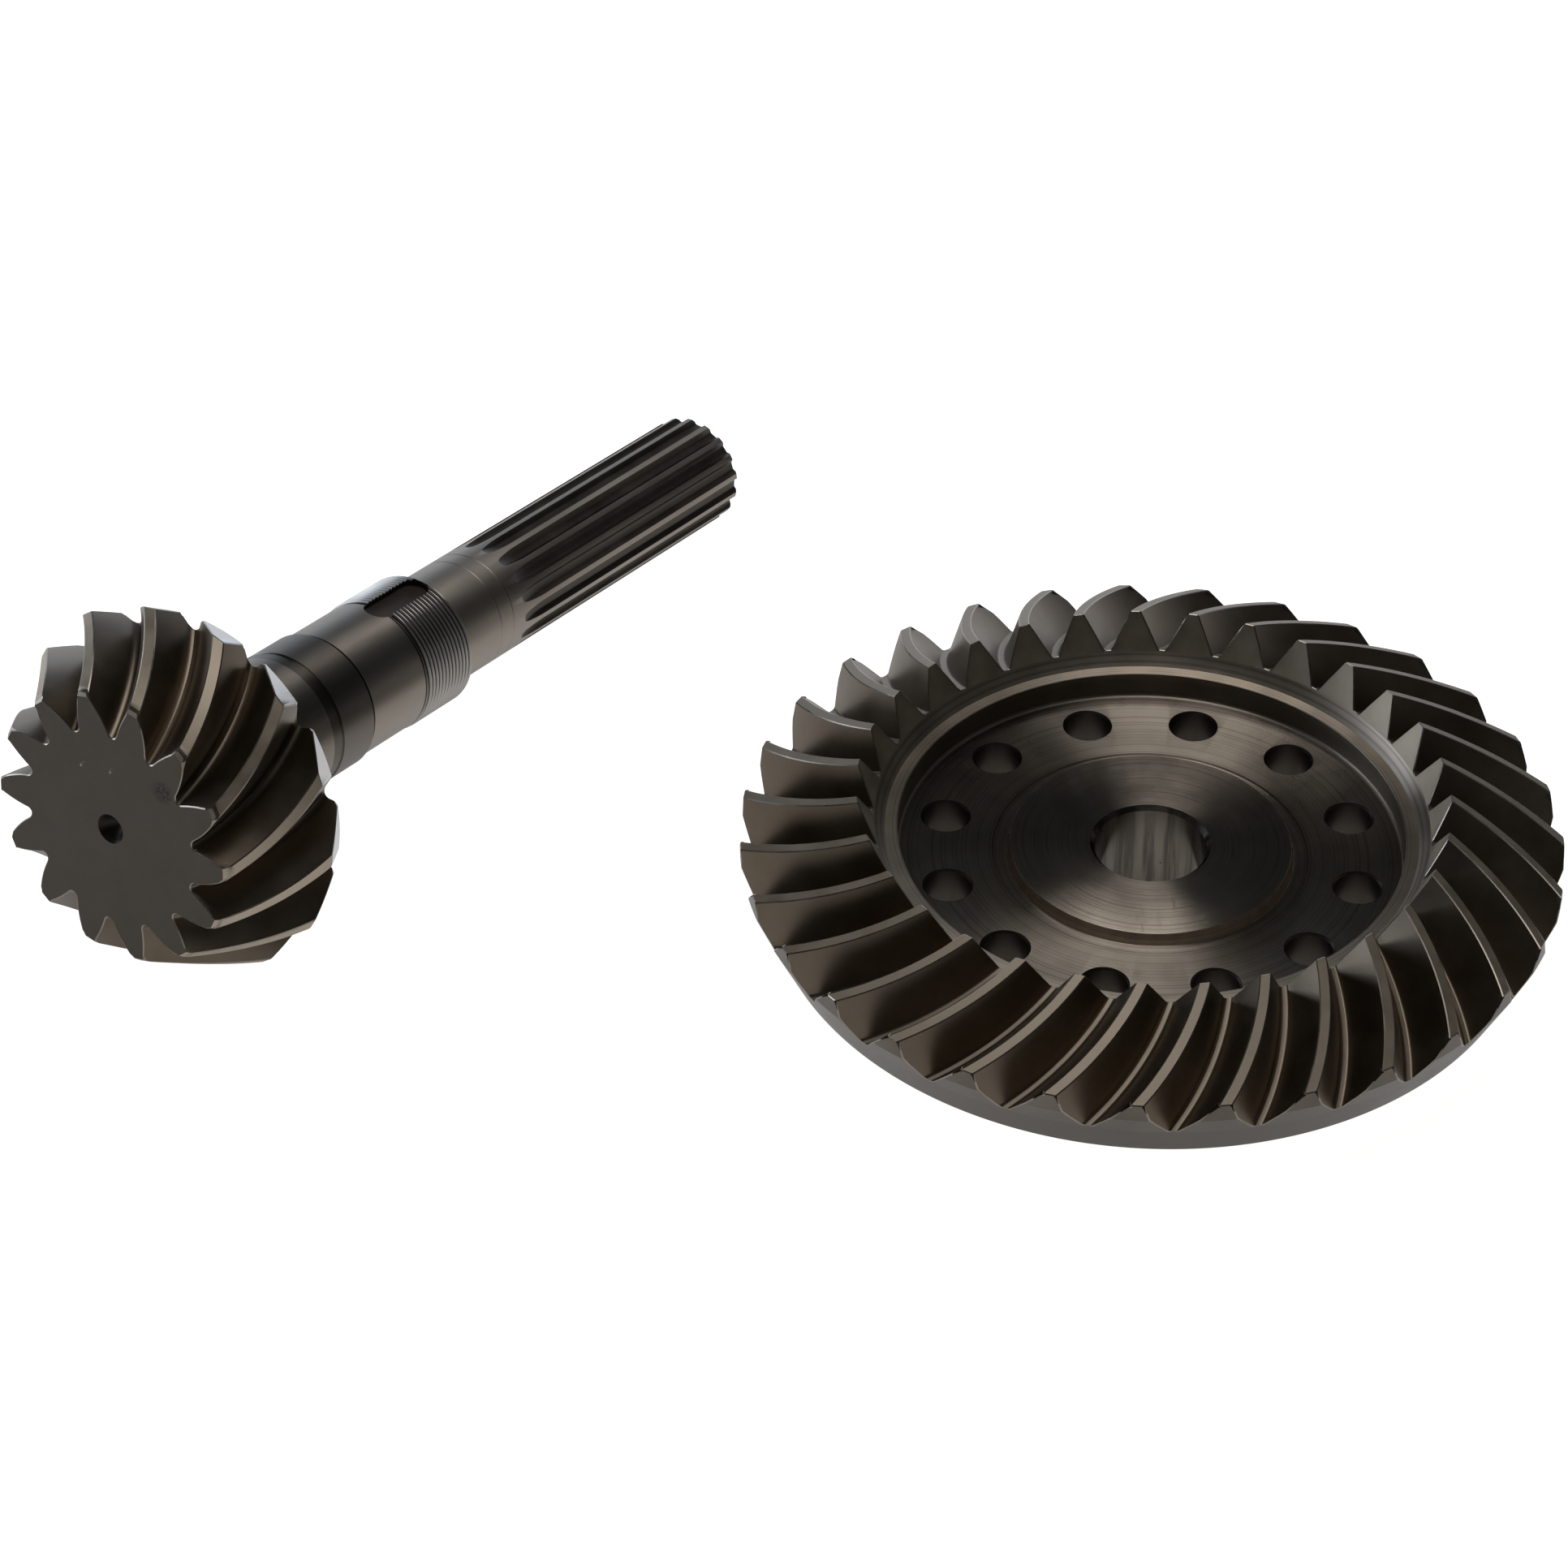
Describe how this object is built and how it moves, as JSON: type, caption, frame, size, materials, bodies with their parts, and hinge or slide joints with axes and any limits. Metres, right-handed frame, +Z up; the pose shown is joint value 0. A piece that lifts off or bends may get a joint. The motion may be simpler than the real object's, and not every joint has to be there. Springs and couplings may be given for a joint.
{
  "type": "spiral bevel gear pair",
  "caption": "Spiral bevel crown wheel with a bolted web, lying beside its toothed pinion shaft with a threaded and splined tail.",
  "frame": {"origin": "on the surface under the pair, at the middle of the rectangle that the pair covers seen from above", "axes": "+Z up along the crown wheel's axis, +X from the pinion's toothed end towards the crown wheel, +Y away from the viewer along the lie of the pinion shaft's tail"},
  "size_m": [0.735, 0.5426, 0.1792],
  "materials": {
    "ring_gear": "dark oiled case-hardened steel, ground teeth and turned web",
    "pinion_shaft": "dark oiled case-hardened steel, ground teeth, turned and ground journals"
  },
  "bodies": {
    "ring_gear": {"ring_gear": "ring_gear"},
    "pinion_shaft": {"pinion_shaft": "pinion_shaft"}
  },
  "joints": [
    {"name": "pinion_spin", "type": "hinge", "parent": "ring_gear", "child": "pinion_shaft", "pos_m": [-0.31182, -0.1287, 0.09647], "axis": [0.5578, 0.8177, -0.1422], "continuous": true}
  ]
}
